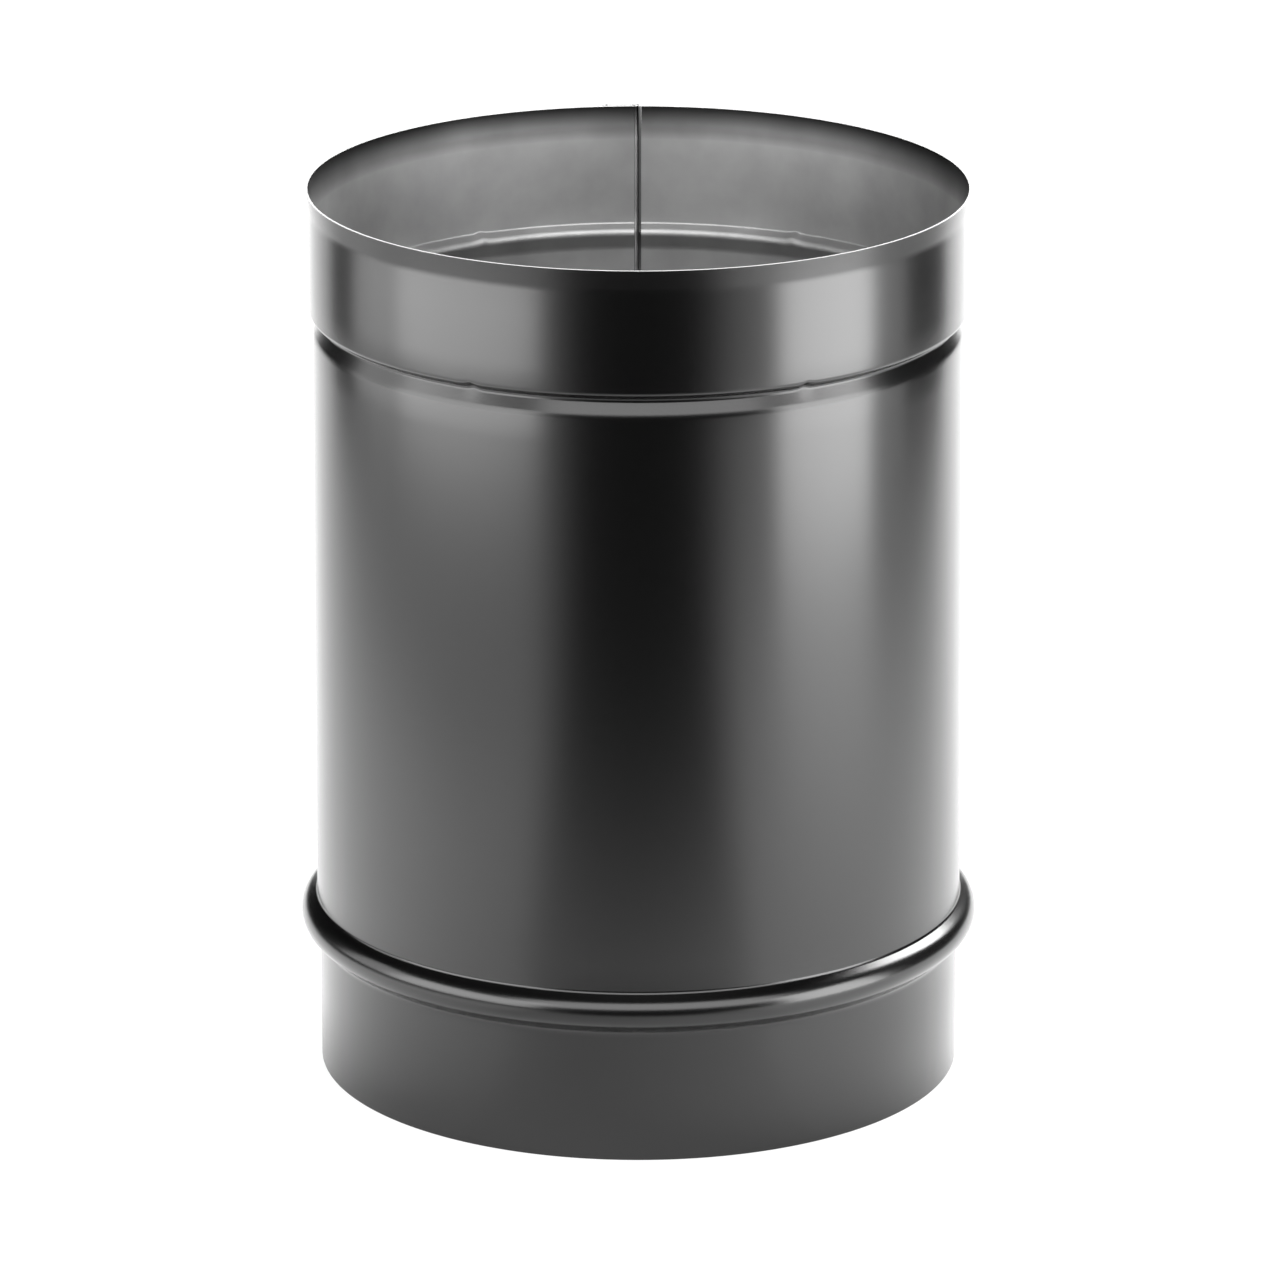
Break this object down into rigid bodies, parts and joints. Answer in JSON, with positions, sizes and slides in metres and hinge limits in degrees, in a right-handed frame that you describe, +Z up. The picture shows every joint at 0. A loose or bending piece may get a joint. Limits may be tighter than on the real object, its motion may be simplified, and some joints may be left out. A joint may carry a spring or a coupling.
{
  "type": "stove pipe",
  "caption": "Short straight length of single-wall stove pipe: female socket and stop groove at the top, stop bead and plain male collar at the bottom, lock seam at the back.",
  "frame": {"origin": "centre of the bottom edge of the male collar", "axes": "+Z up along the pipe towards the socket, -Y towards the front, +Y towards the seam"},
  "size_m": [0.1612, 0.1612, 0.214],
  "materials": {
    "painted_sheet": "satin black stove paint outside, bare coated steel inside"
  },
  "bodies": {
    "root": {"stove_pipe": "painted_sheet"}
  },
  "joints": []
}
